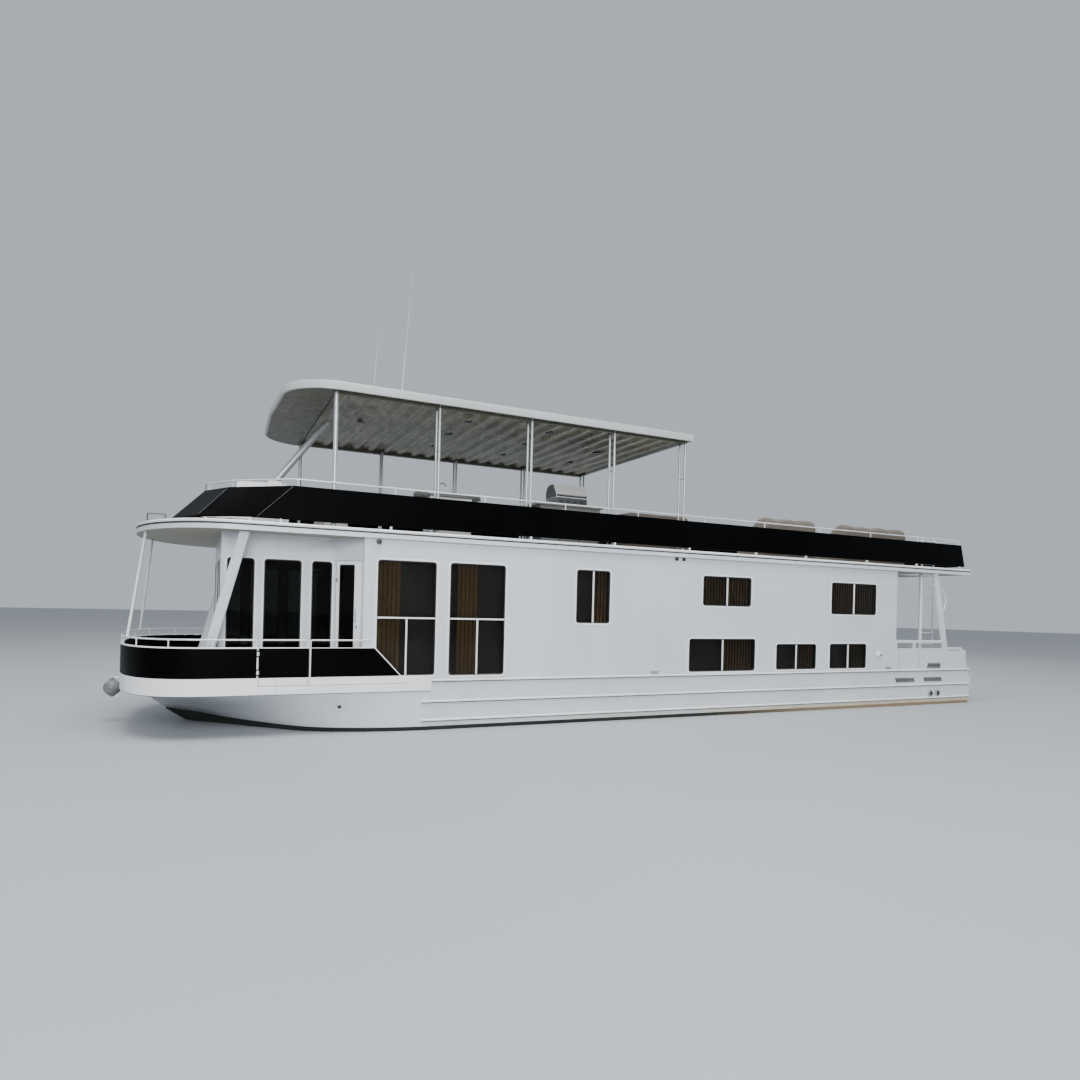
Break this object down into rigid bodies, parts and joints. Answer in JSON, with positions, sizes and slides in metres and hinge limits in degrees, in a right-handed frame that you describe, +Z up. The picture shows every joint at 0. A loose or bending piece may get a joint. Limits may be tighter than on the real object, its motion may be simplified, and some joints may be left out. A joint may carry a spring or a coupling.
{
  "type": "houseboat",
  "caption": "Steel houseboat with a decked hull, full-length cabin, railed bow porch, upper deck under a hardtop, helm, opening gates and doors, twin screws and rudders.",
  "frame": {"origin": "on the waterline, on the centreline, amidships", "axes": "+X towards the bow, +Y to port, +Z up"},
  "size_m": [19.8743, 4.98, 9.0605],
  "materials": {
    "white_paint": "satin",
    "black_paint": "gloss",
    "bottom_paint": "matte",
    "canopy_grey": "satin",
    "tinted_glass": "gloss",
    "rail_tube": "satin",
    "stainless": "brushed",
    "bronze": "dull",
    "counter": "gloss",
    "tan_cover": "woven",
    "seat_vinyl": "satin",
    "engine_paint": "satin",
    "fender_rubber": "satin"
  },
  "bodies": {
    "boat": {"hull_topsides": "white_paint", "hull_bottom": "bottom_paint", "bow_deck": "white_paint", "bulwark_bow": "black_paint", "bulwark_port": "black_paint", "bulwark_starboard": "black_paint", "bow_rail": "rail_tube", "pillar_port": "white_paint", "pillar_starboard": "white_paint", "cabin_wall_port": "white_paint", "cabin_wall_starboard": "white_paint", "glazing_port": "tinted_glass", "glazing_starboard": "tinted_glass", "porch_wall_port": "white_paint", "porch_wall_starboard": "white_paint", "front_bulkhead": "white_paint", "porch_glazing": "tinted_glass", "aft_bulkhead": "white_paint", "stern_quarter_port": "white_paint", "stern_quarter_starboard": "white_paint", "aft_ladder": "rail_tube", "roof_deck": "white_paint", "upper_bulwark_port": "black_paint", "upper_bulwark_starboard": "black_paint", "upper_bulwark_front": "black_paint", "upper_bulwark_aft": "black_paint", "upper_rail": "rail_tube", "canopy_top": "canopy_grey", "canopy_frame_port": "rail_tube", "canopy_frame_starboard": "rail_tube", "helm_console": "white_paint", "helm_seat": "seat_vinyl", "canopy_conduit": "rail_tube", "wet_bar": "counter", "grill_island": "stainless", "deck_locker": "tan_cover", "covered_sofa_fore": "tan_cover", "covered_sofa_aft": "tan_cover", "engine_port": "engine_paint", "engine_starboard": "engine_paint", "antenna_port": "rail_tube", "antenna_centre": "rail_tube", "bow_fender": "fender_rubber"},
    "gate_port_leaf": {"gate_port": "black_paint"},
    "gate_starboard_leaf": {"gate_starboard": "black_paint"},
    "porch_door_port_leaf": {"porch_door_port": "white_paint"},
    "porch_door_starboard_leaf": {"porch_door_starboard": "white_paint"},
    "front_door_leaf": {"front_door": "rail_tube"},
    "aft_door_leaf": {"aft_door": "white_paint"},
    "transom_gate_leaf": {"transom_gate": "white_paint"},
    "engine_hatch_port_lid": {"engine_hatch_port": "white_paint"},
    "engine_hatch_starboard_lid": {"engine_hatch_starboard": "white_paint"},
    "grill_hood": {"grill_lid": "stainless"},
    "wheel": {"steering_wheel": "black_paint"},
    "screw_port": {"propeller_port": "bronze"},
    "screw_starboard": {"propeller_starboard": "bronze"},
    "blade_port": {"rudder_port": "bronze"},
    "blade_starboard": {"rudder_starboard": "bronze"}
  },
  "joints": [
    {"name": "gate_port_hinge", "type": "hinge", "parent": "boat", "child": "gate_port_leaf", "pos_m": [7.684, 2.454, 1.2], "axis": [0, 0, -1], "range_deg": [0, 100]},
    {"name": "gate_starboard_hinge", "type": "hinge", "parent": "boat", "child": "gate_starboard_leaf", "pos_m": [7.684, -2.454, 1.2], "axis": [0, 0, 1], "range_deg": [0, 100]},
    {"name": "porch_door_port_hinge", "type": "hinge", "parent": "boat", "child": "porch_door_port_leaf", "pos_m": [6.4195, 1.8703, 1.9], "axis": [0, 0, -1], "range_deg": [0, 120]},
    {"name": "porch_door_starboard_hinge", "type": "hinge", "parent": "boat", "child": "porch_door_starboard_leaf", "pos_m": [6.4195, -1.8703, 1.9], "axis": [0, 0, 1], "range_deg": [0, 120]},
    {"name": "front_door_slide", "type": "slide", "parent": "boat", "child": "front_door_leaf", "axis": [0, 1, 0], "range_m": [0, 0.85]},
    {"name": "aft_door_hinge", "type": "hinge", "parent": "boat", "child": "aft_door_leaf", "pos_m": [-7.024, 0.354, 1.9], "axis": [0, 0, -1], "range_deg": [0, 110]},
    {"name": "transom_gate_hinge", "type": "hinge", "parent": "boat", "child": "transom_gate_leaf", "pos_m": [-9.646, 0.364, 1.15], "axis": [0, 0, 1], "range_deg": [0, 90]},
    {"name": "engine_hatch_port_hinge", "type": "hinge", "parent": "boat", "child": "engine_hatch_port_lid", "pos_m": [-8.1, 1.696, 0.914], "axis": [-1, 0, 0], "range_deg": [0, 80]},
    {"name": "engine_hatch_starboard_hinge", "type": "hinge", "parent": "boat", "child": "engine_hatch_starboard_lid", "pos_m": [-8.1, -1.696, 0.914], "axis": [1, 0, 0], "range_deg": [0, 80]},
    {"name": "grill_lid_hinge", "type": "hinge", "parent": "boat", "child": "grill_hood", "pos_m": [1.6575, 1.036, 4.484], "axis": [1, 0, 0], "range_deg": [0, 80]},
    {"name": "wheel_turn", "type": "hinge", "parent": "boat", "child": "wheel", "pos_m": [6.99, 0.35, 4.19], "axis": [1, 0, 0], "range_deg": [-540, 540]},
    {"name": "rudder_port_steer", "type": "hinge", "parent": "boat", "child": "blade_port", "pos_m": [-9.38, 0.95, -0.7], "axis": [0, 0, 1], "range_deg": [-35, 35]},
    {"name": "rudder_starboard_steer", "type": "hinge", "parent": "boat", "child": "blade_starboard", "pos_m": [-9.38, -0.95, -0.7], "axis": [0, 0, 1], "range_deg": [-35, 35]},
    {"name": "propeller_port_spin", "type": "hinge", "parent": "boat", "child": "screw_port", "pos_m": [-8.9, 0.95, -0.76], "axis": [0.9877, 0, 0.1564], "continuous": true},
    {"name": "propeller_starboard_spin", "type": "hinge", "parent": "boat", "child": "screw_starboard", "pos_m": [-8.9, -0.95, -0.76], "axis": [0.9877, 0, 0.1564], "continuous": true}
  ],
  "couplings": [
    {"joint": "rudder_starboard_steer", "follows": "rudder_port_steer", "ratio": 1},
    {"joint": "wheel_turn", "follows": "rudder_port_steer", "ratio": 15.42}
  ]
}
